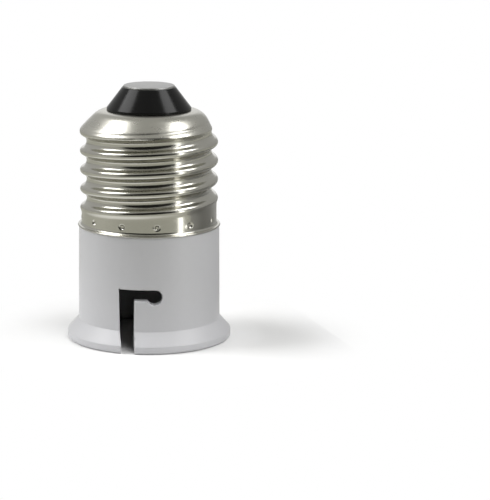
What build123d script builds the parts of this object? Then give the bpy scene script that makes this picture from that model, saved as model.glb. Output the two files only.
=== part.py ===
from build123d import *
import os

os.makedirs("parts", exist_ok=True)

# Lamp socket adapter: a screw cap at the top, a two-pin bayonet socket at the bottom.
# Millimetres, +Z up along the axis, origin at the middle of the mouth face.
# The round ends of the bayonet slots lie on the -Y and +Y sides, the contacts at -X and +X.

# Clearances
PRESS_GAP = 0.02        # pieces pressed or set into one another
FIT_GAP = 0.05          # pieces that slide over one another once, at assembly
DROP_IN_GAP = 0.1       # contact block in the cavity of the sleeve
RUNNING_GAP = 0.04      # plunger in the guide hole of its barrel

# Sheet and thread of the screw cap, which the collar of the sleeve follows
SHEET = 0.3
THREAD_R = 13.1
THREAD_DEPTH = 1.25
THREAD_PITCH = 3.629    # axial length of one thread
THREAD_LAND = 0.8       # flat width at the crest and at the root
SKIRT_INSET = 0.25      # the plain skirt lies this much inside the crest
SKIRT_R = THREAD_R - SKIRT_INSET

# Moulded sleeve
BORE_R = 11.27          # takes a 22 mm lamp cap
FLOOR_Z = 20.4          # floor of the socket, measured from the mouth face
FLOOR_BEVEL = 1.17
LEDGE_THICKNESS = 1.2   # inward ledge that carries the contact block
BODY_R_FOOT = 13.5
BODY_R_TOP = 13.36
BODY_TOP_Z = 21.75
FLANGE_R = 15.62
RIM_HEIGHT = 1.45
RIM_CHAMFER = 0.4
FLARE_HEIGHT = 2.4      # slope from the rim up to the body
MOUTH_CHAMFER_R = 13.4
MOUTH_CHAMFER_HEIGHT = 1.3
COLLAR_R = SKIRT_R - SHEET - FIT_GAP    # the metal skirt is punched on to the collar
COLLAR_HEIGHT = 2.9
COLLAR_WALL = 1.2
CAVITY_R = COLLAR_R - COLLAR_WALL
SNAP_BEAD = 0.15        # how far the bead over the contact block stands out
SNAP_BEAD_WIDTH = 0.45

# Bayonet slots
SLOT_TOP_Z = 11.85
SEAT_DIAMETER = 2.9
LEG_HEIGHT = 2.15
ENTRY_OFFSET = 5.14
ENTRY_WIDTH_TOP = 2.87
ENTRY_WIDTH_MOUTH = 2.4

# Contact block with its two bosses
CONTACT_SPACING = 11.0
BOSS_R = 4.05
BOSS_FACE_Z = 17.4
BOSS_HOLE_R = 2.1
BOSS_LIP = 2.0          # thickness of the boss face in front of the barrel
BLOCK_FLANGE = 1.8
REAR_BOSS_R = 3.0
REAR_BOSS_HEIGHT = 3.2
PAD_R = 2.1
PAD_HEIGHT = 0.3
PAD_RING_R = 6.7
PAD_ANGLE = -57.3       # the other pad lies opposite

# Spring contacts
PLUNGER_R = 1.725
PLUNGER_TIP_Z = 14.2
PLUNGER_TIP_FILLET = 1.0
PLUNGER_PIT_R = 0.32
PLUNGER_PIT_DEPTH = 0.3
PLUNGER_TRAVEL = 3.1
PLUNGER_COLLAR_R = 2.1
PLUNGER_COLLAR_HEIGHT = 1.0
PLUNGER_SPIGOT_R = 1.35
PLUNGER_SPIGOT_HEIGHT = 1.2
BARREL_R = 2.6
BARREL_BORE_R = PLUNGER_COLLAR_R + FIT_GAP
BARREL_LIP = 0.5
BARREL_SPARE = 1.55     # left behind the spigot when the plunger is pressed right in
PLUG_HEIGHT = 0.8
PLUG_CAP_HEIGHT = 0.4
CUP_R = 1.0
CUP_HEIGHT = 2.2
SPRING_WIRE_R = 0.2
SPRING_MEAN_R = 1.83
SPRING_TURNS = 4

# Formed screw shell
THREAD_START_Z = 26.34  # height of the middle of the groove where it begins
THREAD_START_ANGLE = 110
CREST_FOOT_Z = 25.1
THREAD_RUNOUT = 2.2     # the groove climbs this far past the crest and runs out in the dome
DOME_INSET = 1.55       # the foot of the dome lies this much inside the crest
DOME_CORNER_SWEEP = 68
SHELL_BORE_Z = 25.7     # above this the inside of the shell is a plain bore
LIP_WIDTH = 0.7         # the flared lip stands this much outside the skirt
LIP_HEIGHT = 0.35
LIP_FLARE_R = 0.5
LIP_INNER_SWEEP = 75

# Insulated tip and centre contact
CONTACT_R = 4.85
CONTACT_TOP_Z = 48.5
CONTACT_THICKNESS = 0.6
CONTACT_PROUD = 0.35    # the head stands this much above the insulator
CONTACT_EDGE = 0.2
TIP_HEIGHT = 4.66       # from the dome to the top of the head
TIP_BASE_R = 8.0
TIP_BASE_LIP = 0.42
TIP_TOP_RING = 0.2      # ring of insulator left round the head
TIP_GRIP = 0.8          # overlap on the sheet round the tip hole, outside and inside
TIP_FLANGE_HEIGHT = 1.2
TIP_BOSS_R = 3.4
TIP_BOSS_HEIGHT = 1.0
SHANK_R = 1.2
SHANK_LENGTH = 6.6
DOME_FLAT_R = TIP_BASE_R + DROP_IN_GAP

# Leads inside the shell
WIRE_R = 0.4
SLEEVE_R = 0.7
WIRE_SIDES = 8          # facets that round wires and sleeves are drawn with
SPRING_WIRE_SIDES = 6
SOLDER_HEIGHT = 0.7
SOLDER_EDGE = 0.02      # thickness of the solder where it runs out along the wire
WIRE_IN_CUP = 1.6       # length of bare wire inside a solder cup or hollow shank
SLEEVE_START = 0.9      # bare wire left at each end of a sleeve
BEND_R = 1.4
SHELL_LEAD_LOOP = 9.35  # height of the loop above the collar
SHELL_LEAD_CLEARANCE = 0.3      # between the lead and the wall of the cavity
CENTRE_LEAD_CLIMB = 2.5 # rise of the lead on its way over to the axis
NOTCH_SIZE = 2 * (WIRE_R + FIT_GAP)

# Heights and radii that follow from the sizes above
ledge_top_z = FLOOR_Z + LEDGE_THICKNESS
floor_r = BORE_R - FLOOR_BEVEL
flare_top_z = RIM_HEIGHT + FLARE_HEIGHT
collar_top_z = BODY_TOP_Z + COLLAR_HEIGHT
block_flange_top_z = ledge_top_z + BLOCK_FLANGE
rear_boss_top_z = block_flange_top_z + REAR_BOSS_HEIGHT
barrel_z = BOSS_FACE_Z + BOSS_LIP
plunger_collar_z = barrel_z + BARREL_LIP + FIT_GAP
plunger_back_z = plunger_collar_z + PLUNGER_COLLAR_HEIGHT
plunger_end_z = plunger_back_z + PLUNGER_SPIGOT_HEIGHT
plug_z = plunger_end_z + PLUNGER_TRAVEL + BARREL_SPARE
barrel_top_z = plug_z + PLUG_HEIGHT
plug_top_z = barrel_top_z + PLUG_CAP_HEIGHT
cup_top_z = plug_top_z + CUP_HEIGHT
wire_start_z = cup_top_z - WIRE_IN_CUP
cup_bore_r = WIRE_R + FIT_GAP
contact_x = CONTACT_SPACING / 2
root_r = THREAD_R - THREAD_DEPTH
shell_bore_r = root_r - SHEET
shell_top_z = CONTACT_TOP_Z - TIP_HEIGHT
dome_corner_r = THREAD_R - DOME_INSET - DOME_FLAT_R
dome_corner_z = shell_top_z - dome_corner_r
crest_top_z = dome_corner_z - THREAD_LAND
groove_turns = (crest_top_z + THREAD_RUNOUT - THREAD_START_Z) / THREAD_PITCH
tip_spigot_r = TIP_BASE_R - TIP_GRIP
tip_top_z = CONTACT_TOP_Z - CONTACT_PROUD
tip_foot_z = shell_top_z - SHEET - TIP_FLANGE_HEIGHT
head_foot_z = CONTACT_TOP_Z - CONTACT_THICKNESS
shank_end_z = head_foot_z - SHANK_LENGTH
wire_end_z = shank_end_z + WIRE_IN_CUP
notch_z = collar_top_z - NOTCH_SIZE / 2
shell_lead_r = CAVITY_R - SLEEVE_R - SHELL_LEAD_CLEARANCE
sleeve_start_z = cup_top_z + SLEEVE_START
centre_sleeve_end_z = shank_end_z - SLEEVE_START
centre_turn_z = (sleeve_start_z + centre_sleeve_end_z - CENTRE_LEAD_CLIMB) / 2


# Bayonet slot seen square on: the entry from the mouth, the leg and the round pin seat
with BuildSketch() as slot:
    seat_r = SEAT_DIAMETER / 2
    with BuildLine():
        Polyline(
            (-ENTRY_OFFSET - ENTRY_WIDTH_MOUTH / 2, 0),
            (-ENTRY_OFFSET - ENTRY_WIDTH_TOP / 2, SLOT_TOP_Z),
            (-ENTRY_OFFSET + ENTRY_WIDTH_TOP / 2, SLOT_TOP_Z),
            (-ENTRY_OFFSET + ENTRY_WIDTH_MOUTH / 2, 0),
            close=True,
        )
    make_face()
    with Locations((-ENTRY_OFFSET, SLOT_TOP_Z)):
        Rectangle(ENTRY_OFFSET, LEG_HEIGHT, align=(Align.MIN, Align.MAX))
    with Locations((0, SLOT_TOP_Z - seat_r)):
        Circle(seat_r)

# Sleeve: one moulding with the socket bore, the flared rim and the collar for the screw shell
with BuildPart() as housing:
    with BuildSketch(Plane.XZ) as sleeve_section:
        with BuildLine():
            Polyline(
                (BORE_R, FLOOR_Z - FLOOR_BEVEL),
                (BORE_R, MOUTH_CHAMFER_HEIGHT),
                (MOUTH_CHAMFER_R, 0),
                (FLANGE_R, 0),
                (FLANGE_R, RIM_HEIGHT),
                (BODY_R_FOOT, flare_top_z),
                (BODY_R_TOP, BODY_TOP_Z),
                (COLLAR_R, BODY_TOP_Z),
                (COLLAR_R, collar_top_z),
                (CAVITY_R, collar_top_z),
                (CAVITY_R, ledge_top_z),
                (floor_r, ledge_top_z),
                (floor_r, FLOOR_Z),
                close=True,
            )
        make_face()
    revolve(axis=Axis.Z)
    chamfer(housing.edges().group_by(Axis.Z)[0].sort_by(SortBy.RADIUS)[-1], RIM_CHAMFER)
    with BuildSketch(Plane.XZ) as snap_bead:
        bead_z = block_flange_top_z + FIT_GAP
        with BuildLine():
            Polyline(
                (CAVITY_R, bead_z),
                (CAVITY_R - SNAP_BEAD, bead_z + SNAP_BEAD),
                (CAVITY_R, bead_z + SNAP_BEAD_WIDTH),
                close=True,
            )
        make_face()
    revolve(axis=Axis.Z)
    for side in (1, -1):
        with BuildSketch(Plane(origin=(0, 0, 0), x_dir=(side, 0, 0), z_dir=(0, -side, 0))):
            add(slot.sketch)
        extrude(amount=FLANGE_R + FIT_GAP, mode=Mode.SUBTRACT)
    with BuildSketch(Plane.YZ) as lead_notch:
        with Locations((0, notch_z)):
            Rectangle(NOTCH_SIZE, NOTCH_SIZE)
    extrude(amount=COLLAR_R + FIT_GAP, mode=Mode.SUBTRACT)
housing.part.label = "housing"


# Contact block: dark moulding that drops on to the ledge, with a boss round each spring contact
with BuildPart() as contact_block:
    with BuildSketch(Plane.XY.offset(FLOOR_Z)):
        Circle(floor_r - FIT_GAP)
    extrude(amount=LEDGE_THICKNESS)
    with BuildSketch(Plane.XY.offset(ledge_top_z)):
        Circle(CAVITY_R - DROP_IN_GAP)
    extrude(amount=BLOCK_FLANGE)
    with BuildSketch(Plane.XY.offset(FLOOR_Z)):
        with PolarLocations(PAD_RING_R, 2, PAD_ANGLE):
            Circle(PAD_R)
    extrude(amount=-PAD_HEIGHT)
    with BuildSketch(Plane.XY.offset(BOSS_FACE_Z)):
        with PolarLocations(contact_x, 2):
            Circle(BOSS_R)
    extrude(amount=FLOOR_Z - BOSS_FACE_Z)
    with BuildSketch(Plane.XY.offset(block_flange_top_z)):
        with PolarLocations(contact_x, 2):
            Circle(REAR_BOSS_R)
        Rectangle(CONTACT_SPACING, REAR_BOSS_R)
    extrude(amount=REAR_BOSS_HEIGHT)
    with BuildSketch(Plane.XY.offset(BOSS_FACE_Z)):
        with PolarLocations(contact_x, 2):
            Circle(BOSS_HOLE_R)
    extrude(amount=BOSS_LIP, mode=Mode.SUBTRACT)
    with BuildSketch(Plane.XY.offset(barrel_z)):
        with PolarLocations(contact_x, 2):
            Circle(BARREL_R + PRESS_GAP)
    extrude(amount=rear_boss_top_z - barrel_z, mode=Mode.SUBTRACT)
contact_block.part.label = "contact_block"


# Spring contact, made once on the axis: a brass plunger slides in a barrel with a lip at its mouth
with BuildPart() as plunger:
    with BuildSketch(Plane.XZ):
        with BuildLine():
            Polyline(
                (0, PLUNGER_TIP_Z + PLUNGER_PIT_DEPTH),
                (PLUNGER_PIT_R, PLUNGER_TIP_Z),
                (PLUNGER_R, PLUNGER_TIP_Z),
                (PLUNGER_R, plunger_collar_z),
                (PLUNGER_COLLAR_R, plunger_collar_z),
                (PLUNGER_COLLAR_R, plunger_back_z),
                (PLUNGER_SPIGOT_R, plunger_back_z),
                (PLUNGER_SPIGOT_R, plunger_end_z),
                (0, plunger_end_z),
                close=True,
            )
        make_face()
    revolve(axis=Axis.Z)
    tip_edges = plunger.edges().filter_by(GeomType.CIRCLE).group_by(Axis.Z)[0]
    fillet(tip_edges.sort_by(SortBy.RADIUS)[-1], PLUNGER_TIP_FILLET)

with BuildPart() as barrel:
    with BuildSketch(Plane.XY.offset(barrel_z)):
        Circle(BARREL_R)
    extrude(amount=barrel_top_z - barrel_z)
    with BuildSketch(Plane.XY.offset(barrel_z)):
        Circle(PLUNGER_R + RUNNING_GAP)
    extrude(amount=BARREL_LIP, mode=Mode.SUBTRACT)
    with BuildSketch(Plane.XY.offset(barrel_z + BARREL_LIP)):
        Circle(BARREL_BORE_R)
    extrude(amount=barrel_top_z - barrel_z, mode=Mode.SUBTRACT)

# The plug is pressed into the back of the barrel and ends in a solder cup
with BuildPart() as barrel_plug:
    with BuildSketch(Plane.XY.offset(plug_z)):
        Circle(BARREL_BORE_R - PRESS_GAP)
    extrude(amount=PLUG_HEIGHT)
    with BuildSketch(Plane.XY.offset(barrel_top_z)):
        Circle(BARREL_R)
    extrude(amount=PLUG_CAP_HEIGHT)
    with BuildSketch(Plane.XY.offset(plug_top_z)):
        Circle(CUP_R)
        Circle(cup_bore_r, mode=Mode.SUBTRACT)
    extrude(amount=CUP_HEIGHT)

with BuildPart() as spring:
    spring_z = plunger_back_z + SPRING_WIRE_R + PRESS_GAP
    spring_height = plug_z - SPRING_WIRE_R - PRESS_GAP - spring_z
    with BuildLine() as coil:
        Helix(spring_height / SPRING_TURNS, spring_height, SPRING_MEAN_R, center=(0, 0, spring_z))
    with BuildSketch(Plane(origin=coil.line @ 0, z_dir=coil.line % 0)):
        RegularPolygon(SPRING_WIRE_R, SPRING_WIRE_SIDES)
    sweep(path=coil.line, is_frenet=True)

# Solder drawn up round the wire at the mouth of the cup
with BuildPart() as barrel_solder:
    with BuildSketch(Plane.XY.offset(cup_top_z)):
        Circle(CUP_R)
    with BuildSketch(Plane.XY.offset(cup_top_z + SOLDER_HEIGHT)):
        Circle(WIRE_R + PRESS_GAP + SOLDER_EDGE)
    loft()
    with BuildSketch(Plane.XY.offset(cup_top_z)):
        Circle(WIRE_R + PRESS_GAP)
    extrude(amount=SOLDER_HEIGHT, mode=Mode.SUBTRACT)

# Screw shell: drawn and rolled sheet, flared at its foot and punched on to the collar. The groove
# between the crests is cut along one helix that starts above the skirt and runs out in the dome.
with BuildPart() as groove:
    cutter_r = THREAD_R + SHEET
    root_half = THREAD_LAND / 2
    flank_slope = (THREAD_PITCH / 2 - THREAD_LAND) / THREAD_DEPTH
    cutter_half = root_half + flank_slope * (cutter_r - root_r)
    with BuildLine() as rolled_path:
        Helix(THREAD_PITCH, THREAD_PITCH * groove_turns, THREAD_R)
    with BuildSketch(Plane.XZ) as rolled_groove:
        with BuildLine():
            Polyline(
                (root_r, -root_half),
                (root_r, root_half),
                (cutter_r, cutter_half),
                (cutter_r, -cutter_half),
                close=True,
            )
        make_face()
    sweep(path=rolled_path.line, is_frenet=True)

with BuildPart() as screw_shell:
    lip_r = SKIRT_R + LIP_WIDTH
    lip_top_z = BODY_TOP_Z + LIP_HEIGHT
    lip_flare_r = SKIRT_R + LIP_FLARE_R
    lip_flare_z = lip_top_z + LIP_FLARE_R
    with BuildSketch(Plane.XZ) as drawn_cup:
        with BuildLine():
            Polyline((0, BODY_TOP_Z), (lip_r, BODY_TOP_Z), (lip_r, lip_top_z), (lip_flare_r, lip_top_z))
            CenterArc((lip_flare_r, lip_flare_z), LIP_FLARE_R, 270, -90)
            dome = CenterArc((DOME_FLAT_R, dome_corner_z), dome_corner_r, 90 - DOME_CORNER_SWEEP, DOME_CORNER_SWEEP)
            Polyline((SKIRT_R, lip_flare_z), (SKIRT_R, CREST_FOOT_Z - SKIRT_INSET), (THREAD_R, CREST_FOOT_Z),
                     (THREAD_R, crest_top_z), dome @ 0)
            Polyline(dome @ 1, (0, shell_top_z), (0, BODY_TOP_Z))
        make_face()
    revolve(axis=Axis.Z)
    with Locations(Location((0, 0, THREAD_START_Z), (0, 0, THREAD_START_ANGLE))):
        add(groove.part, mode=Mode.SUBTRACT)
    with BuildSketch(Plane.XZ) as cup_inside:
        with BuildLine():
            foot = CenterArc((lip_flare_r, lip_flare_z), LIP_FLARE_R + SHEET, 180, LIP_INNER_SWEEP)
            corner = CenterArc((DOME_FLAT_R, dome_corner_z), dome_corner_r - SHEET, 0, 90, mode=Mode.PRIVATE)
            Polyline(foot @ 1, (lip_r - SHEET, (foot @ 1).Y), (lip_r - SHEET, BODY_TOP_Z), (0, BODY_TOP_Z),
                     (0, shell_top_z - SHEET), corner @ 1, corner @ 0.5, corner @ 0,
                     (shell_bore_r, crest_top_z - THREAD_DEPTH), (shell_bore_r, SHELL_BORE_Z),
                     (SKIRT_R - SHEET, collar_top_z + FIT_GAP), foot @ 0)
        make_face()
    revolve(axis=Axis.Z, mode=Mode.SUBTRACT)
    with BuildSketch(Plane.XY.offset(shell_top_z - SHEET)):
        Circle(tip_spigot_r + PRESS_GAP)
    extrude(amount=SHEET, mode=Mode.SUBTRACT)
screw_shell.part.label = "screw_shell"


# Tip insulator: black cone moulded into the tip hole, gripping the sheet from both sides
with BuildPart() as tip_insulator:
    with BuildSketch(Plane.XZ):
        with BuildLine():
            Polyline(
                (SHANK_R + PRESS_GAP, tip_foot_z - TIP_BOSS_HEIGHT),
                (TIP_BOSS_R, tip_foot_z - TIP_BOSS_HEIGHT),
                (TIP_BOSS_R, tip_foot_z),
                (TIP_BASE_R, tip_foot_z),
                (TIP_BASE_R, shell_top_z - SHEET),
                (tip_spigot_r, shell_top_z - SHEET),
                (tip_spigot_r, shell_top_z),
                (TIP_BASE_R, shell_top_z),
                (TIP_BASE_R, shell_top_z + TIP_BASE_LIP),
                (CONTACT_R + TIP_TOP_RING, tip_top_z),
                (CONTACT_R + FIT_GAP, tip_top_z),
                (CONTACT_R + FIT_GAP, head_foot_z),
                (SHANK_R + PRESS_GAP, head_foot_z),
                close=True,
            )
        make_face()
    revolve(axis=Axis.Z)
tip_insulator.part.label = "tip_insulator"


# Centre contact: flat plated head on a hollow shank that is pressed through the insulator
with BuildPart() as centre_contact:
    with BuildSketch(Plane.XY.offset(CONTACT_TOP_Z)):
        Circle(CONTACT_R)
    extrude(amount=-CONTACT_THICKNESS)
    chamfer(centre_contact.edges().group_by(Axis.Z)[-1], CONTACT_EDGE)
    with BuildSketch(Plane.XY.offset(shank_end_z)):
        Circle(SHANK_R)
        Circle(cup_bore_r, mode=Mode.SUBTRACT)
    extrude(amount=SHANK_LENGTH)
centre_contact.part.label = "centre_contact"

with BuildPart() as centre_solder:
    with BuildSketch(Plane.XY.offset(shank_end_z)):
        Circle(SHANK_R)
    with BuildSketch(Plane.XY.offset(shank_end_z - SOLDER_HEIGHT)):
        Circle(WIRE_R + PRESS_GAP + SOLDER_EDGE)
    loft()
    with BuildSketch(Plane.XY.offset(shank_end_z)):
        Circle(WIRE_R + PRESS_GAP)
    extrude(amount=-SOLDER_HEIGHT, mode=Mode.SUBTRACT)
centre_solder.part.label = "centre_solder"


# Leads: tinned wire with a slipped-on sleeve. The left one feeds the centre contact, and the
# bare end of the right one is trapped in a notch between the collar and the screw shell.
centre_lead = [
    (-contact_x, 0, wire_start_z),
    (-contact_x, 0, centre_turn_z),
    (0, 0, centre_turn_z + CENTRE_LEAD_CLIMB),
    (0, 0, wire_end_z),
]
shell_lead = [
    (contact_x, 0, wire_start_z),
    (contact_x, 0, collar_top_z + SHELL_LEAD_LOOP),
    (shell_lead_r, 0, collar_top_z + SHELL_LEAD_LOOP),
    (shell_lead_r, 0, notch_z),
    (COLLAR_R - PRESS_GAP, 0, notch_z),
]

with BuildPart() as centre_wire:
    with BuildLine() as centre_route:
        FilletPolyline(*centre_lead, radius=BEND_R)
    with BuildSketch(Plane(origin=centre_lead[0], z_dir=(0, 0, 1))):
        RegularPolygon(WIRE_R, WIRE_SIDES)
    sweep(path=centre_route.line)
centre_wire.part.label = "centre_wire"

with BuildPart() as shell_wire:
    with BuildLine() as shell_route:
        FilletPolyline(*shell_lead, radius=BEND_R)
    with BuildSketch(Plane(origin=shell_lead[0], z_dir=(0, 0, 1))):
        RegularPolygon(WIRE_R, WIRE_SIDES)
    sweep(path=shell_route.line)
shell_wire.part.label = "shell_wire"

# Each sleeve covers its wire between the solder and the far joint
with BuildPart() as centre_sleeve:
    with BuildLine() as centre_cover:
        FilletPolyline((-contact_x, 0, sleeve_start_z), *centre_lead[1:-1],
                       (0, 0, centre_sleeve_end_z), radius=BEND_R)
    with BuildSketch(Plane(origin=(-contact_x, 0, sleeve_start_z), z_dir=(0, 0, 1))):
        RegularPolygon(SLEEVE_R, WIRE_SIDES)
        RegularPolygon(WIRE_R + FIT_GAP, WIRE_SIDES, mode=Mode.SUBTRACT)
    sweep(path=centre_cover.line)
centre_sleeve.part.label = "centre_sleeve"

with BuildPart() as shell_sleeve:
    with BuildLine() as shell_cover:
        FilletPolyline((contact_x, 0, sleeve_start_z), *shell_lead[1:-2],
                       (shell_lead_r, 0, rear_boss_top_z + SLEEVE_START), radius=BEND_R)
    with BuildSketch(Plane(origin=(contact_x, 0, sleeve_start_z), z_dir=(0, 0, 1))):
        RegularPolygon(SLEEVE_R, WIRE_SIDES)
        RegularPolygon(WIRE_R + FIT_GAP, WIRE_SIDES, mode=Mode.SUBTRACT)
    sweep(path=shell_cover.line)
shell_sleeve.part.label = "shell_sleeve"


# One file for each piece; the spring contacts are placed on their two sides
pieces = [
    housing.part, contact_block.part, screw_shell.part, tip_insulator.part, centre_contact.part,
    centre_solder.part, centre_wire.part, shell_wire.part, centre_sleeve.part, shell_sleeve.part,
]
spring_contact = {
    "plunger": plunger.part,
    "spring": spring.part,
    "barrel": barrel.part,
    "barrel_plug": barrel_plug.part,
    "barrel_solder": barrel_solder.part,
}
for side, x in (("left", -contact_x), ("right", contact_x)):
    for name, piece in spring_contact.items():
        placed = piece.moved(Location((x, 0, 0)))
        placed.label = f"{name}_{side}"
        pieces.append(placed)
for piece in pieces:
    export_step(piece, f"parts/{piece.label}.step")
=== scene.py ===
import math

import bmesh
import bpy
from mathutils import Matrix, Vector


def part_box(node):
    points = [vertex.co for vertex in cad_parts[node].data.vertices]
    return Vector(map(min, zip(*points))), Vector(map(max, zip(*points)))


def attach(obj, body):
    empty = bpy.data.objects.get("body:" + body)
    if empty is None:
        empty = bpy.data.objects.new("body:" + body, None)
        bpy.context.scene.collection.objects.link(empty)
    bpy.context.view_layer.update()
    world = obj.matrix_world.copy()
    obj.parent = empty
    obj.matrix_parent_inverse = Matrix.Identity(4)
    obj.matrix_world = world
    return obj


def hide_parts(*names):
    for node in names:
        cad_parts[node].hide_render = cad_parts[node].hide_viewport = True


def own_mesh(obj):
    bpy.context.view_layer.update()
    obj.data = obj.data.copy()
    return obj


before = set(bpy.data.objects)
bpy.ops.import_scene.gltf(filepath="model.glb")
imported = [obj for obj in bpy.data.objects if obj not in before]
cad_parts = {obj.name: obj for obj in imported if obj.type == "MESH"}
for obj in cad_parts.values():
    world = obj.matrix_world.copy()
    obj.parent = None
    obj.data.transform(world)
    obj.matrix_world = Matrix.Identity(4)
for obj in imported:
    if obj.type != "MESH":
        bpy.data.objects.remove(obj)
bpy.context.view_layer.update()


# Sleeve: one moulding in light grey plastic, with the socket bore, the flared rim and a collar
# at the top that the screw shell is punched on to. Two J-shaped slots for the lamp's pins are
# moulded through its wall. Sizes here and below are in millimetres unless a comment says metres.
MM = 0.001
sleeve_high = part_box("housing")[1] / MM
rim_r = sleeve_high.x
bore_r, body_foot_r, body_top_r = 11.27, 13.5, 13.36
body_top_z = 21.75
collar_r, collar_top_z, cavity_r = 12.5, 24.65, 11.3
floor_z, ledge_top_z, floor_r = 20.4, 21.6, 10.1
rim_height, flare_height, mouth_r, mouth_height = 1.45, 2.4, 13.4, 1.3
longest_edge, edge_rounding, edge_sharp_deg = 0.7, 0.07, 50
usual_sharp_deg = 32


def rounded(corners, steps=6):
    """Outline points (r, z) of corners (r, z, rounding): a corner becomes an arc of that radius."""
    outline = []
    count = len(corners)
    for i, (r, z, rounding) in enumerate(corners):
        here = Vector((r, z))
        if not rounding:
            outline.append(here)
            continue
        back = Vector(corners[i - 1][:2]) - here
        ahead = Vector(corners[(i + 1) % count][:2]) - here
        half = back.angle(ahead) / 2
        start = here + back.normalized() * rounding / math.tan(half)
        inward = (back.normalized() + ahead.normalized()).normalized()
        centre = here + inward * rounding / math.sin(half)
        end = here + ahead.normalized() * rounding / math.tan(half)
        sweep = (start - centre).angle_signed(end - centre)
        for step in range(steps + 1):
            arm = (start - centre).copy()
            arm.rotate(Matrix.Rotation(-sweep * step / steps, 2))
            outline.append(centre + arm)
    return outline


def divided(outline, longest):
    """The closed outline with each run longer than this cut into even steps."""
    points = []
    for here, ahead in zip(outline, outline[1:] + outline[:1]):
        here, ahead = Vector(here), Vector(ahead)
        steps = max(1, math.ceil((ahead - here).length / longest))
        points += [here.lerp(ahead, step / steps) for step in range(steps)]
    return points


def smoothed(mesh, sharp_deg=usual_sharp_deg):
    """Shades the mesh smooth except at edges sharper than this."""
    mesh.shade_smooth()
    mesh.set_sharp_from_angle(angle=math.radians(sharp_deg))


def placed(name, mesh, sharp_deg=usual_sharp_deg):
    """An object of this mesh, shaded smooth except at sharp edges."""
    smoothed(mesh, sharp_deg)
    piece = bpy.data.objects.new(name, mesh)
    bpy.context.scene.collection.objects.link(piece)
    return piece


def solid_of(name, verts, faces):
    """An object of one closed solid, with its faces turned to the outside."""
    mesh = bpy.data.meshes.new(name)
    mesh.from_pydata(verts, [], faces)
    solid = bmesh.new()
    solid.from_mesh(mesh)
    bmesh.ops.recalc_face_normals(solid, faces=solid.faces)
    solid.to_mesh(mesh)
    solid.free()
    return placed(name, mesh)


def turned(name, outline, columns=256, at_x=0.0):
    """A solid of revolution from a closed outline; points on the axis become one vertex."""
    on_axis = 1e-6
    verts, faces, rings = [], [], []
    for r, z in outline:
        if r < on_axis:
            rings.append([len(verts)] * columns)
            verts.append((at_x * MM, 0, z * MM))
            continue
        rings.append(list(range(len(verts), len(verts) + columns)))
        for column in range(columns):
            angle = 2 * math.pi * column / columns
            x = at_x + r * math.cos(angle)
            verts.append((x * MM, r * math.sin(angle) * MM, z * MM))
    for low, high in zip(rings, rings[1:] + rings[:1]):
        for column in range(columns):
            after = (column + 1) % columns
            face = [low[column], low[after], high[after], high[column]]
            face = [v for i, v in enumerate(face) if v not in face[:i]]
            if len(face) > 2:
                faces.append(face)
    return solid_of(name, verts, faces)


def settled(piece):
    """Makes the piece's modifiers part of its mesh."""
    view = bpy.context.evaluated_depsgraph_get()
    mesh = bpy.data.meshes.new_from_object(piece.evaluated_get(view))
    piece.modifiers.clear()
    piece.data = mesh
    smoothed(mesh)


def worked(piece, other, operation):
    """Cuts the other solid out of the piece or fuses it on, and removes the other."""
    change = piece.modifiers.new(operation, "BOOLEAN")
    change.object, change.operation, change.solver = other, operation, "EXACT"
    settled(piece)
    bpy.data.objects.remove(other)


def finish_nodes(name, base, roughness, metallic=0.0, **sockets):
    """A new material with its Principled shader set, and a short way to add nodes to it."""
    material = bpy.data.materials.new(name)
    material.use_nodes = True
    tree = material.node_tree
    shader = tree.nodes["Principled BSDF"]
    shader.inputs["Base Color"].default_value = (*base, 1)
    shader.inputs["Roughness"].default_value = roughness
    shader.inputs["Metallic"].default_value = metallic
    for socket, value in sockets.items():
        shader.inputs[socket.replace("_", " ")].default_value = value

    def add(kind, **settings):
        node = tree.nodes.new(kind)
        for key, value in settings.items():
            if key in node.inputs:
                node.inputs[key].default_value = value
            else:
                setattr(node, key, value)
        return node

    return material, tree, shader, add


def graining(tree, shader, add, scale, height, tint=0.0, rough=0.0, stretch=(1, 1, 1)):
    """Fine unevenness from noise: bump of this height in metres, and small shifts of tone and
    gloss. Returns the socket with the piece's own space, in which the noise lies."""
    place = add("ShaderNodeTexCoord").outputs["Object"]
    mapped = add("ShaderNodeMapping")
    mapped.inputs["Scale"].default_value = stretch
    noise = add("ShaderNodeTexNoise", Scale=scale, Detail=5.0, Roughness=0.6)
    tree.links.new(place, mapped.inputs["Vector"])
    tree.links.new(mapped.outputs["Vector"], noise.inputs["Vector"])
    bump = add("ShaderNodeBump", Strength=0.35, Distance=height)
    tree.links.new(noise.outputs["Fac"], bump.inputs["Height"])
    tree.links.new(bump.outputs["Normal"], shader.inputs["Normal"])
    if tint:
        base = shader.inputs["Base Color"].default_value[:3]
        tones = add("ShaderNodeMix", data_type="RGBA")
        tones.inputs["A"].default_value = (*[c * (1 - tint) for c in base], 1)
        tones.inputs["B"].default_value = (*[min(1, c * (1 + tint)) for c in base], 1)
        tree.links.new(noise.outputs["Fac"], tones.inputs["Factor"])
        tree.links.new(tones.outputs["Result"], shader.inputs["Base Color"])
    if rough:
        gloss = add("ShaderNodeMapRange")
        plain = shader.inputs["Roughness"].default_value
        gloss.inputs["To Min"].default_value = plain - rough
        gloss.inputs["To Max"].default_value = plain + rough
        tree.links.new(noise.outputs["Fac"], gloss.inputs["Value"])
        tree.links.new(gloss.outputs["Result"], shader.inputs["Roughness"])
    return place


def moulded_plastic(name, base, roughness, scale=900):
    """Moulded plastic: faint grain from the tool and slow shifts of tone."""
    material, *nodes = finish_nodes(name, base, roughness)
    graining(*nodes, scale, height=0.00002, tint=0.02, rough=0.04)
    return material


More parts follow.
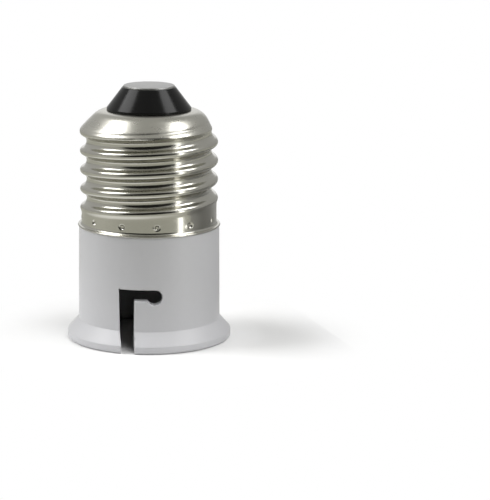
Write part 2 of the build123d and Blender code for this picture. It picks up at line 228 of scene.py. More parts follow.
def slot_outline():
    """The bayonet slot seen square on, (x, z): entry from the mouth, leg, and round seat."""
    seat_r, top_z, leg_height = 1.45, 11.85, 2.15
    entry_x, entry_top, entry_mouth = -5.14, 2.87, 2.4
    below_mouth, seat_steps = -1.0, 24
    points = [
        (entry_x - entry_mouth / 2, below_mouth), (entry_x - entry_top / 2, top_z), (0.0, top_z),
    ]
    seat_z = top_z - seat_r
    last = -90 - math.degrees(math.acos((seat_z - top_z + leg_height) / seat_r))
    for step in range(seat_steps + 1):
        angle = math.radians(90 + (last - 90) * step / seat_steps)
        points.append((seat_r * math.cos(angle), seat_z + seat_r * math.sin(angle)))
    points.append((entry_x + entry_top / 2, top_z - leg_height))
    points.append((entry_x + entry_mouth / 2, below_mouth))
    return points


def slot_cutter(side):
    """A prism of the slot outline that reaches from the axis out through the wall on one side."""
    past_rim = 2
    outline = slot_outline()
    reach = side * (rim_r + past_rim) * MM
    verts = [
        (side * x * MM, 0 if near else -reach, z * MM) for near in (True, False) for x, z in outline
    ]
    count = len(outline)
    faces = [list(range(count)), list(range(2 * count - 1, count - 1, -1))]
    faces += [[i, i + count, (i + 1) % count + count, (i + 1) % count] for i in range(count)]
    return solid_of("slot_cutter", verts, faces)


flare_top_z = rim_height + flare_height
sleeve = turned("socket_sleeve", divided(rounded([
    (bore_r, mouth_height, 0.15), (mouth_r, 0, 0.1), (rim_r, 0, 0.55), (rim_r, rim_height, 0.35),
    (body_foot_r, flare_top_z, 0.3), (body_top_r, body_top_z, 0.05), (collar_r, body_top_z, 0),
    (collar_r, collar_top_z, 0.1), (cavity_r, collar_top_z, 0), (cavity_r, ledge_top_z, 0),
    (floor_r, ledge_top_z, 0), (floor_r, floor_z, 0), (bore_r, floor_z, 1.15),
]), longest_edge))
for side in (1, -1):
    worked(sleeve, slot_cutter(side), "DIFFERENCE")
edges = sleeve.modifiers.new("slot edges", "BEVEL")
edges.width, edges.segments, edges.limit_method = edge_rounding * MM, 2, "ANGLE"
edges.angle_limit = math.radians(edge_sharp_deg)
edges.use_clamp_overlap, edges.harden_normals = False, True
settled(sleeve)
sleeve.data.materials.append(
    moulded_plastic("light_grey_plastic", (0.46, 0.46, 0.475), roughness=0.38))
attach(sleeve, "adapter")
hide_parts("housing")


# Contact block: moulding on the ledge at the bottom of the socket, with a boss round each spring
# contact and two low round pads; its dark grey is painted shade, standing in for the shade deep in
# the socket. It is dropped in from the cap's side before the shell goes on.
contact_x = 5.5
boss_r, boss_face_z, boss_root_z, boss_hole_r = 4.05, 17.4, floor_z + 0.6, 2.1
pad_r, pad_face_z, pad_root_z, pad_ring_r, pad_deg = 2.1, floor_z - 0.3, floor_z + 0.5, 6.7, -57.3
block_flange_top_z = 23.4
rear_boss_r, rear_boss_root_z, rear_boss_top_z = 3.0, 22.8, 26.6
barrel_r, barrel_z = 2.6, 19.4
block_r, block_flange_r, barrel_hole_r = floor_r - 0.05, cavity_r - 0.1, barrel_r + 0.02
drilled_past = 1
block = turned("contact_block_plate", [
    (0, floor_z), (block_r, floor_z), (block_r, ledge_top_z), (block_flange_r, ledge_top_z),
    (block_flange_r, block_flange_top_z), (0, block_flange_top_z),
])
bosses = []
for side in (-1, 1):
    bosses.append(turned("boss", rounded([
        (0, boss_face_z, 0), (boss_r, boss_face_z, 0.25), (boss_r, boss_root_z, 0),
        (0, boss_root_z, 0),
    ]), columns=128, at_x=side * contact_x))
    bosses.append(turned("rear_boss", [
        (0, rear_boss_root_z), (rear_boss_r, rear_boss_root_z), (rear_boss_r, rear_boss_top_z),
        (0, rear_boss_top_z),
    ], columns=96, at_x=side * contact_x))
for turn in (pad_deg, pad_deg + 180):
    pad = turned("pad", rounded([
        (0, pad_face_z, 0), (pad_r, pad_face_z, 0.08), (pad_r, pad_root_z, 0), (0, pad_root_z, 0),
    ]), columns=96)
    angle = math.radians(turn)
    pad.data.transform(Matrix.Translation(
        (pad_ring_r * math.cos(angle) * MM, pad_ring_r * math.sin(angle) * MM, 0)))
    bosses.append(pad)
for boss in bosses:
    worked(block, boss, "UNION")
block.name = "contact_block_moulding"
for side in (-1, 1):
    hole_foot_z, hole_top_z = boss_face_z - drilled_past, rear_boss_top_z + drilled_past
    worked(block, turned("hole", [
        (0, hole_foot_z), (boss_hole_r, hole_foot_z), (boss_hole_r, barrel_z),
        (barrel_hole_r, barrel_z), (barrel_hole_r, hole_top_z), (0, hole_top_z),
    ], columns=96, at_x=side * contact_x), "DIFFERENCE")
# Dark grey over the whole block is painted shade of the deep socket, not the moulding's own tone.
block.data.materials.append(
    moulded_plastic("painted_shade_grey_plastic", (0.13, 0.13, 0.132), roughness=0.45))
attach(block, "adapter")
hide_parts("contact_block")


# Spring contacts: a turned brass plunger slides in a barrel that is pressed into each boss, and a
# coil spring behind its collar pushes it against the lamp. A plug with a solder cup shuts the
# barrel. Barrels and plugs keep the meshes of the solids.
plunger_r, plunger_tip_z, tip_pit_r, tip_pit_depth = 1.725, 14.2, 0.34, 0.3
plunger_collar_r, plunger_collar_z, plunger_back_z = 2.1, 19.95, 20.95
spigot_r, spigot_top_z = 1.35, 22.15
plug_z, plunger_travel = 26.8, 3.1
wire_r, coil_r, coil_turns, coil_play = 0.2, 1.83, 4, 0.02


def turned_brass(name, base, roughness):
    """Brass from the lathe: fine rings round the axis, a little tarnish."""
    material, *nodes = finish_nodes(name, base, roughness, metallic=1.0)
    graining(*nodes, scale=500, height=0.000008, tint=0.06, rough=0.06, stretch=(1, 1, 6))
    return material


def drawn_wire(name, base, roughness):
    """Drawn or tinned wire, slightly uneven in gloss."""
    material, *nodes = finish_nodes(name, base, roughness, metallic=1.0)
    graining(*nodes, scale=1500, height=0.000006, tint=0.04, rough=0.08)
    return material


def coil(name, x, low_z, high_z):
    """Coil spring as a round wire along a helix."""
    steps_per_turn, wire_sharp_deg = 48, 60
    curve = bpy.data.curves.new(name, "CURVE")
    curve.dimensions, curve.bevel_depth, curve.bevel_resolution = "3D", wire_r * MM, 5
    curve.use_fill_caps = True
    steps = steps_per_turn * coil_turns
    line = curve.splines.new("POLY")
    line.points.add(steps)
    for step, point in enumerate(line.points):
        angle = 2 * math.pi * coil_turns * step / steps
        z = low_z + (high_z - low_z) * step / steps
        point.co = ((x + coil_r * math.cos(angle)) * MM, coil_r * math.sin(angle) * MM, z * MM, 1)
    holder = bpy.data.objects.new(name, curve)
    bpy.context.scene.collection.objects.link(holder)
    mesh = bpy.data.meshes.new_from_object(holder)
    bpy.data.objects.remove(holder)
    return placed(name, mesh, wire_sharp_deg)


polished_brass = turned_brass("polished_brass", (0.80, 0.58, 0.22), roughness=0.22)
barrel_brass = turned_brass("barrel_brass", (0.68, 0.48, 0.20), roughness=0.35)
spring_steel = drawn_wire("spring_steel", (0.50, 0.50, 0.52), roughness=0.3)
coil_low_z, coil_high_z = plunger_back_z + wire_r + coil_play, plug_z - wire_r - coil_play
for word, side in (("left", -1), ("right", 1)):
    plunger = turned(f"plunger_pin_{word}", rounded([
        (0, plunger_tip_z + tip_pit_depth, 0), (tip_pit_r, plunger_tip_z, 0.08),
        (plunger_r, plunger_tip_z, 1.0), (plunger_r, plunger_collar_z, 0),
        (plunger_collar_r, plunger_collar_z, 0.1), (plunger_collar_r, plunger_back_z, 0.1),
        (spigot_r, plunger_back_z, 0), (spigot_r, spigot_top_z, 0.15), (0, spigot_top_z, 0),
    ], steps=8), columns=128, at_x=side * contact_x)
    plunger.data.materials.append(polished_brass)
    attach(plunger, f"plunger_{word}")
    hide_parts(f"plunger_{word}")
    spring = coil(f"coil_spring_{word}", side * contact_x, coil_low_z, coil_high_z)
    spring.data.materials.append(spring_steel)
    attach(spring, "adapter")
    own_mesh(spring)
    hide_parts(f"spring_{word}")


def dressed(node, material):
    """Gives a node that keeps its own mesh its finish."""
    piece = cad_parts[node]
    piece.data.materials.clear()
    piece.data.materials.append(material)


for word in ("left", "right"):
    dressed(f"barrel_{word}", barrel_brass)
    dressed(f"barrel_plug_{word}", barrel_brass)


# Leads: tinned wire in woven sleeving, soldered at the cups and at the hollow shank of the centre
# contact. The right one's bare end is trapped between the collar and the shell. All of them keep
# the meshes of the solids.
def woven_sleeving(name, base, roughness):
    """Varnished woven sleeving: a fine weave, drawn out along the lead."""
    material, *nodes = finish_nodes(name, base, roughness)
    graining(*nodes, scale=2500, height=0.00002, tint=0.12, rough=0.05, stretch=(1, 1, 0.4))
    return material


def set_solder(name, base, roughness):
    """Solder that has set: soft shine, slightly lumpy."""
    material, *nodes = finish_nodes(name, base, roughness, metallic=1.0)
    graining(*nodes, scale=1200, height=0.00003, tint=0.05, rough=0.1)
    return material


tinned = drawn_wire("tinned_copper", (0.66, 0.66, 0.65), roughness=0.28)
sleeving = woven_sleeving("cream_sleeving", (0.72, 0.70, 0.62), roughness=0.6)
solder = set_solder("dull_solder", (0.62, 0.62, 0.62), roughness=0.32)
for lead in ("centre", "shell"):
    dressed(f"{lead}_wire", tinned)
    dressed(f"{lead}_sleeve", sleeving)
for joint in ("centre_solder", "barrel_solder_left", "barrel_solder_right"):
    dressed(joint, solder)


# Screw shell: nickel-plated sheet, drawn to a cup, rolled to the round right-hand thread and
# flared to a lip at its foot. Twelve punch marks hold it on the collar. Spans round the axis
# are given as shares of a turn, from where the groove starts.
pitch, crest_r, root_r = 3.629, 13.1, 11.85
skirt_r, lip_r = 12.85, 13.55
lip_top_z, flare_r = 22.1, 0.5
groove_start_z, groove_start_deg = 26.34, 110
groove_forms_over, skirt_roll = 0.12, 0.6
last_crest, last_crest_fades_over = 3.5, 0.15
full_dome_ends, full_dome_ends_over, dome_blend, dome_fillet = 0.45, 0.22, 0.5, 0.25
shell_top_z, tip_hole_r = 43.84, 7.22
dome_flat_r, dome_corner_r, dome_foot_deg, shoulder_z = 8.1, 3.45, 45, 41.68
foot_lean, full_slope, full_curve = 0.5, 1.08, 0.045
notch_starts, notch_ends, notch_depth, notch_rise, notch_half = 0.18, 0.55, 0.15, 0.28, 0.24
notch_starts_over, notch_ends_over = 0.12, 0.15
sheet = 0.3
crest_over_skirt = crest_r - skirt_r
thread_depth = crest_r - root_r
crest_arc_r = 0.78
trough_arc_r = ((pitch / 2) ** 2 + thread_depth ** 2) / (2 * thread_depth) - crest_arc_r
trough_half = pitch / 2 * trough_arc_r / (trough_arc_r + crest_arc_r)
dome_corner_z = shell_top_z - dome_corner_r
dome_foot_r = dome_flat_r + dome_corner_r * math.cos(math.radians(dome_foot_deg))
dome_foot_z = shell_top_z - dome_corner_r * (1 - math.sin(math.radians(dome_foot_deg)))
punch_count, punch_deg, punch_z = 12, -87.8, 23.55
punch_step_deg = 360 / punch_count
pit_depth, pit_half_width, pit_half_height, pit_steepness = 0.42, 0.46, 0.38, 1.5
burr_height, burr_aside, burr_below, burr_width, burr_tallness = 0.08, 0.62, 0.15, 0.06, 0.10
haze_low, haze_high, dome_haze = 0.0385, 0.0398, 0.11


def eased(x):
    """0 to 1 with level ends."""
    x = min(1.0, max(0.0, x))
    return x * x * (3 - 2 * x)


def rolled_radius(distance):
    """Radius of the rolled thread at a height from the middle of its groove: a wide arc in the
    trough, then a tighter one over the crest."""
    d = abs(distance)
    if d < trough_half:
        return root_r + trough_arc_r - math.sqrt(trough_arc_r**2 - d * d)
    d = max(0.0, pitch / 2 - d)
    return crest_r - crest_arc_r + math.sqrt(crest_arc_r**2 - d * d)


def crown_radius(fullness, z):
    """Radius of the dome's side: its corner's arc and a steep foot, or, where it is full, one
    even slope."""
    rise = max(z, shoulder_z) - dome_corner_z
    lean = dome_flat_r + math.sqrt(dome_corner_r**2 - rise**2)
    lean += max(0.0, shoulder_z - z) * foot_lean
    below = dome_foot_z - z
    full = dome_foot_r + full_slope * below - full_curve * below * below
    return lean + (full - lean) * fullness


def ridge_notch(turn, z):
    """Depth of the faint groove that runs out on the dome just above the last crest."""
    shown = eased((turn - notch_starts) / notch_starts_over)
    shown *= 1 - eased((turn - notch_ends) / notch_ends_over)
    middle = groove_start_z + pitch * (last_crest + turn) + notch_rise
    return notch_depth * shown * math.exp(-(((z - middle) / notch_half) ** 2))


def wall_radius(angle_deg, z):
    """Outer radius of the wall: plain skirt, thread with its run-outs, and the fall to the dome."""
    turn = ((angle_deg - groove_start_deg) % 360) / 360
    tau = (z - groove_start_z) / pitch - turn
    formed = eased(turn / groove_forms_over)
    if tau < -0.5:
        roll = math.exp(-(((-0.5 - tau) * pitch / skirt_roll) ** 2))
        return skirt_r + formed * crest_over_skirt * roll
    rolled = rolled_radius((tau - round(tau)) * pitch)
    if tau < 0.5:
        roll = math.exp(-(((0.5 - tau) * pitch / skirt_roll) ** 2))
        plain = skirt_r + crest_over_skirt * roll
        return plain + (rolled - plain) * formed
    if tau >= last_crest:
        fading = 1 - eased(turn / last_crest_fades_over) if tau < last_crest + 1 else 0.0
        rolled = crest_r + (rolled - crest_r) * fading
    fullness = eased(turn / last_crest_fades_over)
    fullness *= 1 - eased((turn - full_dome_ends) / full_dome_ends_over)
    crown = crown_radius(fullness, z) - ridge_notch(turn, z)
    blend = min(1.0, max(0.0, 0.5 + (crown - rolled) / dome_blend))
    return crown + (rolled - crown) * blend - dome_fillet * blend * (1 - blend)


def punch_depth(angle_deg, z):
    """How far a punch mark pushes the skirt in, with a small raised burr at one side."""
    half_step = punch_step_deg / 2
    away = (angle_deg - punch_deg + half_step) % punch_step_deg - half_step
    across = math.radians(away) * skirt_r
    up = z - punch_z
    spot = (across / pit_half_width) ** 2 + (up / pit_half_height) ** 2
    pit = pit_depth * math.exp(-(spot ** pit_steepness))
    aside = (across + burr_aside) ** 2 / burr_width + (up + burr_below) ** 2 / burr_tallness
    return pit - burr_height * math.exp(-aside)


def spread(low, high, count):
    """Evenly spaced values from low up to, but not at, high."""
    return [low + (high - low) * i / count for i in range(count)]


def shell_columns():
    """Directions of the mesh's columns: closer together across each punch mark."""
    mark_half_deg = 4.5
    columns = []
    for mark in range(punch_count):
        middle = punch_deg + punch_step_deg * mark
        columns += spread(middle - mark_half_deg, middle + mark_half_deg, 20)
        columns += spread(middle + mark_half_deg, middle + punch_step_deg - mark_half_deg, 14)
    return columns


def dome_rows(radius):
    """Rows round the corner of the dome, from its foot to the flat top."""
    steps = 10
    rows = []
    for step in range(steps + 1):
        angle = math.radians(dome_foot_deg + (90 - dome_foot_deg) * step / steps)
        r, z = dome_flat_r + radius * math.cos(angle), dome_corner_z + radius * math.sin(angle)
        rows.append(("ring", r, z))
    return rows


def shell_mesh():
    """The shell as one closed sheet: outside rows from the lip to the tip hole, then the inside
    back down. A ring has its radius; a wall has how far it lies inside the rolled outer face."""
    flare_z, mark_top_z, thread_foot_z = lip_top_z + flare_r, 24.2, 25.0
    inner_top_z, inner_thread_foot_z, inner_skirt_z = dome_foot_z - 0.2, 26.2, 25.4
    lip_low_rounding, lip_high_rounding, lip_inner_step = 0.18, 0.22, 0.05
    lip = rounded([
        (lip_r, body_top_z, lip_low_rounding), (lip_r, lip_top_z, lip_high_rounding),
        (skirt_r, lip_top_z, 0), (skirt_r, body_top_z, 0),
    ])
    rows = [("ring", r, z) for r, z in lip if r > skirt_r + flare_r]
    rows += [
        ("ring", skirt_r + flare_r * (1 - math.sin(a)), flare_z - flare_r * math.cos(a))
        for a in spread(0.1, math.pi / 2, 7)
    ]
    walls = spread(flare_z, mark_top_z, 14) + spread(mark_top_z, thread_foot_z, 4)
    walls += spread(thread_foot_z, dome_foot_z, 102)
    rows += [("wall", 0, z) for z in walls]
    rows += dome_rows(dome_corner_r)
    rows += [("ring", tip_hole_r, shell_top_z), ("ring", tip_hole_r, shell_top_z - sheet)]
    rows += reversed(dome_rows(dome_corner_r - sheet))
    inner_walls = spread(inner_top_z, inner_thread_foot_z, 44)
    inner_walls += [inner_thread_foot_z, inner_skirt_z, mark_top_z, flare_z]
    rows += [("wall", sheet, z) for z in inner_walls]
    rows.append(("ring", lip_r - sheet, lip_top_z - lip_inner_step))
    rows.append(("ring", lip_r - sheet, body_top_z))
    columns = shell_columns()
    verts = []
    for kind, value, z in rows:
        for angle_deg in columns:
            r = value
            if kind == "wall":
                r = wall_radius(angle_deg, z) - value
                if not value:
                    r -= punch_depth(angle_deg, z)
            angle = math.radians(angle_deg)
            verts.append((r * math.cos(angle) * MM, r * math.sin(angle) * MM, z * MM))
    count, faces = len(columns), []
    for row in range(len(rows)):
        low, high = row * count, (row + 1) % len(rows) * count
        for column in range(count):
            after = (column + 1) % count
            faces.append((low + column, low + after, high + after, high + column))
    mesh = bpy.data.meshes.new("rolled_screw_shell")
    mesh.from_pydata(verts, [], faces)
    return mesh


def nickel_plate(name, base, roughness):
    """Bright nickel plate on rolled sheet: faint rings from rolling, cloudy gloss, and a duller
    dome. The heights of the haze are in metres."""
    material, tree, shader, add = finish_nodes(name, base, roughness, metallic=1.0)
    place = graining(
        tree, shader, add, scale=260, height=0.00003, tint=0.05, rough=0.05, stretch=(1, 1, 3))
    cloudy = shader.inputs["Roughness"].links[0].from_socket
    level = add("ShaderNodeSeparateXYZ")
    haze = add("ShaderNodeMapRange", interpolation_type="SMOOTHSTEP")
    haze.inputs["From Min"].default_value = haze_low
    haze.inputs["From Max"].default_value = haze_high
    haze.inputs["To Max"].default_value = dome_haze
    gloss = add("ShaderNodeMath", operation="ADD")
    tree.links.new(place, level.inputs["Vector"])
    tree.links.new(level.outputs["Z"], haze.inputs["Value"])
    tree.links.new(cloudy, gloss.inputs[0])
    tree.links.new(haze.outputs["Result"], gloss.inputs[1])
    tree.links.new(gloss.outputs["Value"], shader.inputs["Roughness"])
    return material


shell = placed("rolled_screw_shell", shell_mesh(), sharp_deg=40)
shell.data.materials.append(nickel_plate("nickel_plate", (0.54, 0.53, 0.48), roughness=0.17))
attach(shell, "adapter")
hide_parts("screw_shell")


# Tip insulator: black glossy cone moulded into the tip hole of the shell, gripping the sheet
# from both sides. The shank of the centre contact goes through it.
cone_base_r, cone_lip, cone_top_r, cone_top_z = 8.0, 0.42, 5.05, 48.15
stem_r, stem_foot_z, grip_r, grip_foot_z = 3.4, 41.34, 8.0, 42.34
contact_r, contact_top_z, contact_thickness, shank_r = 4.85, 48.5, 0.6, 1.2
contact_foot_z, sheet_foot_z = contact_top_z - contact_thickness, shell_top_z - sheet
shank_hole_r, contact_seat_r, grip_hole_r = shank_r + 0.02, contact_r + 0.05, tip_hole_r - 0.02
cone = turned("tip_cone", rounded([
    (shank_hole_r, stem_foot_z, 0), (stem_r, stem_foot_z, 0.2), (stem_r, grip_foot_z, 0),
    (grip_r, grip_foot_z, 0.2), (grip_r, sheet_foot_z, 0.05), (grip_hole_r, sheet_foot_z, 0),
    (grip_hole_r, shell_top_z, 0), (cone_base_r, shell_top_z, 0.1),
    (cone_base_r, shell_top_z + cone_lip, 0.15), (cone_top_r, cone_top_z, 0.12),
    (contact_seat_r, cone_top_z, 0), (contact_seat_r, contact_foot_z, 0),
    (shank_hole_r, contact_foot_z, 0),
]))


def glossy_black(name, base, roughness, reflection):
    """Black moulded plastic with a shallow sheen, faint rings from the mould."""
    material, *nodes = finish_nodes(name, base, roughness, Specular_IOR_Level=reflection)
    graining(*nodes, scale=420, height=0.00003, rough=0.05, stretch=(1, 1, 4))
    return material


cone.data.materials.append(
    glossy_black("black_plastic", (0.004, 0.004, 0.004), roughness=0.18, reflection=0.18))
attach(cone, "adapter")
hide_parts("tip_insulator")


# Centre contact: flat nickel-plated head on a hollow shank that is pressed through the cone.
# The centre lead ends in the shank.
shank_bore_r, shank_foot_z, head_thickness = 0.45, 41.3, 0.3
bore_top_z = contact_top_z - head_thickness
head = turned("centre_contact_head", rounded([
    (shank_bore_r, shank_foot_z, 0), (shank_r, shank_foot_z, 0.1), (shank_r, contact_foot_z, 0),
    (contact_r, contact_foot_z, 0), (contact_r, contact_top_z, 0.2), (0, contact_top_z, 0),
    (0, bore_top_z, 0), (shank_bore_r, bore_top_z, 0),
]))


def dull_plate(name, base, roughness):
    """Dull nickel plate on a stamped head: scuffs and a cloudy finish."""
    material, *nodes = finish_nodes(name, base, roughness, metallic=1.0)
    graining(*nodes, scale=700, height=0.00004, tint=0.08, rough=0.12)
    return material


head.data.materials.append(dull_plate("dull_plate", (0.42, 0.42, 0.415), roughness=0.42))
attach(head, "adapter")
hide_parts("centre_contact")


# Studio: a pale floor, soft lamps from both sides and above, a narrow upright one at the right
# and a grey card beside it. A light tent, open at the back, stands round the set and gives
# polished metal its dim room, dark behind the camera. Sizes of the studio are in metres.
camera_turn_deg = -4.4
near_floor, outer_floor = (0.80, 0.80, 0.80), (0.38, 0.38, 0.34)
greying_place = (-0.014, 0.022, 0.060)
tent_r = 1.6
room_grey = (0.50, 0.50, 0.48)


def toward(azimuth, elevation):
    """The direction from the object; azimuth 0 is the camera's side, growing to its right."""
    a, e = math.radians(azimuth + camera_turn_deg), math.radians(elevation)
    return Vector((math.sin(a) * math.cos(e), -math.cos(a) * math.cos(e), math.sin(e)))


def background_rays(tree):
    """1 for the rays that see the white background: the camera's, and those that metal or glass
    sends on."""
    path = tree.nodes.new("ShaderNodeLightPath")
    total = path.outputs["Is Camera Ray"]
    for kind in ("Is Glossy Ray", "Is Transmission Ray"):
        plus = tree.nodes.new("ShaderNodeMath")
        plus.operation, plus.use_clamp = "ADD", True
        tree.links.new(total, plus.inputs[0])
        tree.links.new(path.outputs[kind], plus.inputs[1])
        total = plus.outputs["Value"]
    return total


def distance_share(tree, add, aside, near, far):
    """0 within the near distance of a point at the object's side, growing to 1 at the far one."""
    away = add("ShaderNodeVectorMath", operation="DISTANCE")
    away.inputs[1].default_value = toward(90, 0) * aside
    share = add("ShaderNodeMapRange", interpolation_type="SMOOTHSTEP")
    share.inputs["From Min"].default_value, share.inputs["From Max"].default_value = near, far
    tree.links.new(add("ShaderNodeTexCoord").outputs["Object"], away.inputs[0])
    tree.links.new(away.outputs["Value"], share.inputs["Value"])
    return share.outputs["Result"]


def greyed(tree, shader, add, share):
    """Colours the ground from pale to the outer grey by this share."""
    tones = add("ShaderNodeMix", data_type="RGBA")
    tones.inputs["A"].default_value = (*near_floor, 1)
    tones.inputs["B"].default_value = (*outer_floor, 1)
    tree.links.new(share, tones.inputs["Factor"])
    tree.links.new(tones.outputs["Result"], shader.inputs["Base Color"])


def studio_floor():
    """Round floor, pale near the object. Where it is seen it fades to plain white; the light that
    it throws back is greyer further out."""
    floor_extent, fading_place = 6.0, (0.004, 0.018, 0.040)
    mesh = bpy.data.meshes.new("studio_floor")
    sheet_mesh = bmesh.new()
    bmesh.ops.create_circle(sheet_mesh, cap_ends=True, segments=96, radius=floor_extent)
    sheet_mesh.to_mesh(mesh)
    sheet_mesh.free()
    floor = bpy.data.objects.new("studio_floor", mesh)
    bpy.context.scene.collection.objects.link(floor)
    material, tree, shader, add = finish_nodes(
        "white_floor", near_floor, roughness=0.5, Specular_IOR_Level=0.2)
    seen = background_rays(tree)
    unseen = add("ShaderNodeMath", operation="SUBTRACT", use_clamp=True)
    tree.links.new(distance_share(tree, add, *greying_place), unseen.inputs[0])
    tree.links.new(seen, unseen.inputs[1])
    greyed(tree, shader, add, unseen.outputs["Value"])
    both = add("ShaderNodeMath", operation="MULTIPLY")
    white = add("ShaderNodeEmission")
    mixed = add("ShaderNodeMixShader")
    tree.links.new(distance_share(tree, add, *fading_place), both.inputs[0])
    tree.links.new(seen, both.inputs[1])
    tree.links.new(both.outputs["Value"], mixed.inputs["Fac"])
    tree.links.new(shader.outputs["BSDF"], mixed.inputs[1])
    tree.links.new(white.outputs["Emission"], mixed.inputs[2])
    tree.links.new(mixed.outputs["Shader"], tree.nodes["Material Output"].inputs["Surface"])
    floor.data.materials.append(material)


def room_tone(room, place):
    """Tones of the room by direction: even at the back and the left, dimmer at the right and
    above, and dark behind the camera. Each wall has its middle, the cosines of the angles from
    it at which it starts and is full, and its colour."""
    walls = [
        (toward(-150, 10), 0.3, 0.9, (0.52, 0.52, 0.51)),
        (toward(110, 15), 0.2, 0.85, (0.44, 0.44, 0.43)),
        (Vector((0, 0, 1)), 0.7, 0.95, (0.42, 0.42, 0.40)),
        (toward(-2, 10), 0.58, 0.76, (0.015, 0.015, 0.013)),
    ]
    tone = None
    for direction, start, end, shade in walls:
        dot = room.nodes.new("ShaderNodeVectorMath")
        dot.operation = "DOT_PRODUCT"
        dot.inputs[1].default_value = direction
        share = room.nodes.new("ShaderNodeMapRange")
        share.interpolation_type = "SMOOTHSTEP"
        share.inputs["From Min"].default_value, share.inputs["From Max"].default_value = start, end
        mix = room.nodes.new("ShaderNodeMix")
        mix.data_type = "RGBA"
        mix.inputs["A"].default_value = (*room_grey, 1)
        mix.inputs["B"].default_value = (*shade, 1)
        room.links.new(place, dot.inputs[0])
        room.links.new(dot.outputs["Value"], share.inputs["Value"])
        room.links.new(share.outputs["Result"], mix.inputs["Factor"])
        if tone:
            room.links.new(tone, mix.inputs["A"])
        tone = mix.outputs["Result"]
    return tone


def mirrored_only(name, mesh, material):
    """A card of the studio that polished surfaces show, while the camera and the light pass it."""
    card = bpy.data.objects.new(name, mesh)
    bpy.context.scene.collection.objects.link(card)
    card.visible_camera, card.visible_diffuse, card.visible_shadow = False, False, False
    mesh.materials.append(material)


def tent_wall():
    """Wall and roof of the light tent, in the tones of the room; the back is open to the white
    background up to a lintel."""
    opening_deg, lintel_deg = 15, 40
    cloth_shell = bmesh.new()
    bmesh.ops.create_uvsphere(cloth_shell, u_segments=72, v_segments=36, radius=tent_r)
    gaps = []
    for face in cloth_shell.faces:
        centre = face.calc_center_median()
        level = Vector((centre.x, centre.y, 0)).normalized()
        low = centre.z < tent_r * math.sin(math.radians(lintel_deg))
        behind = level.dot(toward(180, 0)) > math.cos(math.radians(opening_deg))
        if centre.z < 0 or (low and behind):
            gaps.append(face)
    bmesh.ops.delete(cloth_shell, geom=gaps, context="FACES")
    mesh = bpy.data.meshes.new("tent_wall")
    cloth_shell.to_mesh(mesh)
    cloth_shell.free()
    cloth = bpy.data.materials.new("tent_cloth")
    cloth.use_nodes = True
    cloth.cycles.emission_sampling = "NONE"
    tree = cloth.node_tree
    tree.nodes.remove(tree.nodes["Principled BSDF"])
    place = tree.nodes.new("ShaderNodeTexCoord").outputs["Object"]
    direction = tree.nodes.new("ShaderNodeVectorMath")
    direction.operation = "NORMALIZE"
    glow = tree.nodes.new("ShaderNodeEmission")
    tree.links.new(place, direction.inputs[0])
    tree.links.new(room_tone(tree, direction.outputs["Vector"]), glow.inputs["Color"])
    tree.links.new(glow.outputs["Emission"], tree.nodes["Material Output"].inputs["Surface"])
    mirrored_only("tent_wall", mesh, cloth)


def tent_mat():
    """Mat of the light tent round the object, greyer further out; it ends where the tent opens."""
    height, spread_deg, columns = 0.0002, 165, 66
    radii = (0.022, 0.1, tent_r)
    points = [
        toward(-spread_deg + 2 * spread_deg * column / columns, 0) * radius + Vector((0, 0, height))
        for radius in radii for column in range(columns + 1)
    ]
    faces = []
    for row in range(len(radii) - 1):
        for column in range(columns):
            first = row * (columns + 1) + column
            faces.append((first, first + columns + 1, first + columns + 2, first + 1))
    mesh = bpy.data.meshes.new("tent_mat")
    mesh.from_pydata(points, [], faces)
    material, tree, shader, add = finish_nodes(
        "grey_mat", outer_floor, roughness=0.5, Specular_IOR_Level=0.2)
    greyed(tree, shader, add, distance_share(tree, add, *greying_place))
    mirrored_only("tent_mat", mesh, material)


def soft_lamp(name, azimuth, elevation, distance, width, height, watts, mirrored=True):
    """A soft lamp aimed at the object; one that isn't mirrored lights it but doesn't show in its
    metal."""
    aim_height = 0.03
    light = bpy.data.lights.new(name, "AREA")
    light.shape, light.size, light.size_y, light.energy = "ELLIPSE", width, height, watts
    lamp = bpy.data.objects.new(name, light)
    lamp.visible_camera, lamp.visible_glossy = False, mirrored
    bpy.context.scene.collection.objects.link(lamp)
    back = toward(azimuth, elevation)
    lamp.location = Vector((0, 0, aim_height)) + back * distance
    lamp.rotation_euler = back.to_track_quat("Z", "Y").to_euler()


def grey_card(azimuth, distance, width, height, tone):
    """An upright card on the floor that faces the object; the camera doesn't see it and it casts
    no shadow."""
    mesh = bpy.data.meshes.new("grey_card")
    half = width / 2
    corners = [(-half, 0, 0), (half, 0, 0), (half, 0, height), (-half, 0, height)]
    mesh.from_pydata(corners, [], [(0, 1, 2, 3)])
    card = bpy.data.objects.new("grey_card", mesh)
    bpy.context.scene.collection.objects.link(card)
    card.location = toward(azimuth, 0) * distance
    card.rotation_euler = (0, 0, math.radians(azimuth + camera_turn_deg))
    card.visible_camera, card.visible_shadow = False, False
    card.data.materials.append(
        moulded_plastic("card", (tone, tone, tone), roughness=0.8, scale=200))


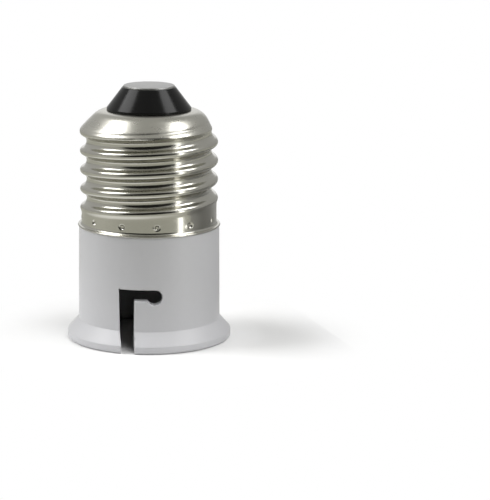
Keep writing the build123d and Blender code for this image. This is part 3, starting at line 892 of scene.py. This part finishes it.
def studio_room():
    """World: white where the background is seen; its light comes in the tones of the room."""
    world = bpy.data.worlds.new("studio")
    bpy.context.scene.world = world
    world.use_nodes = True
    room = world.node_tree
    tone = room_tone(room, room.nodes.new("ShaderNodeTexCoord").outputs["Generated"])
    seen = room.nodes.new("ShaderNodeMix")
    seen.data_type = "RGBA"
    seen.inputs["B"].default_value = (1, 1, 1, 1)
    room.links.new(background_rays(room), seen.inputs["Factor"])
    room.links.new(tone, seen.inputs["A"])
    room.links.new(seen.outputs["Result"], room.nodes["Background"].inputs["Color"])


studio_floor()
tent_wall()
tent_mat()
# azimuth and elevation in degrees, then distance, width and height in metres, and watts
soft_lamp("left_softbox", -96, 50, 0.7, 0.38, 0.42, 2.0)
soft_lamp("right_softbox", 85, 52, 0.7, 0.31, 0.36, 1.4)
soft_lamp("right_strip", 51, 0, 0.085, 0.012, 0.16, 0.013)
soft_lamp("left_key", -90, 24, 0.8, 0.5, 0.5, 3.2, mirrored=False)
soft_lamp("front_key", 32, 50, 0.8, 0.4, 0.4, 2.8, mirrored=False)
soft_lamp("right_key", 66, 40, 0.8, 0.4, 0.4, 0.7, mirrored=False)
grey_card(azimuth=106, distance=0.034, width=0.06, height=0.028, tone=0.34)
studio_room()


# Camera: a long lens a little above the object, turned so that one bayonet slot faces it. Yaw is
# in radians, distance and height in metres.
distance, height, tilt_deg, yaw, roll_deg = 0.430, 0.1104, 12.29, 0.0426, 0.434
focal_pixels, image_long_side = 2299, 500
lens = bpy.data.cameras.new("camera")
lens.sensor_width = 36
lens.lens = lens.sensor_width * focal_pixels / image_long_side
lens.clip_start, lens.clip_end = 0.01, 50
camera = bpy.data.objects.new("camera", lens)
bpy.context.scene.collection.objects.link(camera)
tilt = math.radians(tilt_deg)
forward = Vector((
    math.sin(yaw) * math.cos(tilt), math.cos(yaw) * math.cos(tilt), -math.sin(tilt)))
right = Vector((math.cos(yaw), -math.sin(yaw), 0))
up = right.cross(forward)
aim = Matrix((right, up, -forward)).transposed().to_4x4()
camera.matrix_world = (
    Matrix.Rotation(math.radians(camera_turn_deg), 4, "Z")
    @ Matrix.Translation((0, -distance, height)) @ aim
    @ Matrix.Rotation(math.radians(roll_deg), 4, "Z")
)
bpy.context.scene.camera = camera
bpy.context.scene.view_settings.view_transform = "Standard"
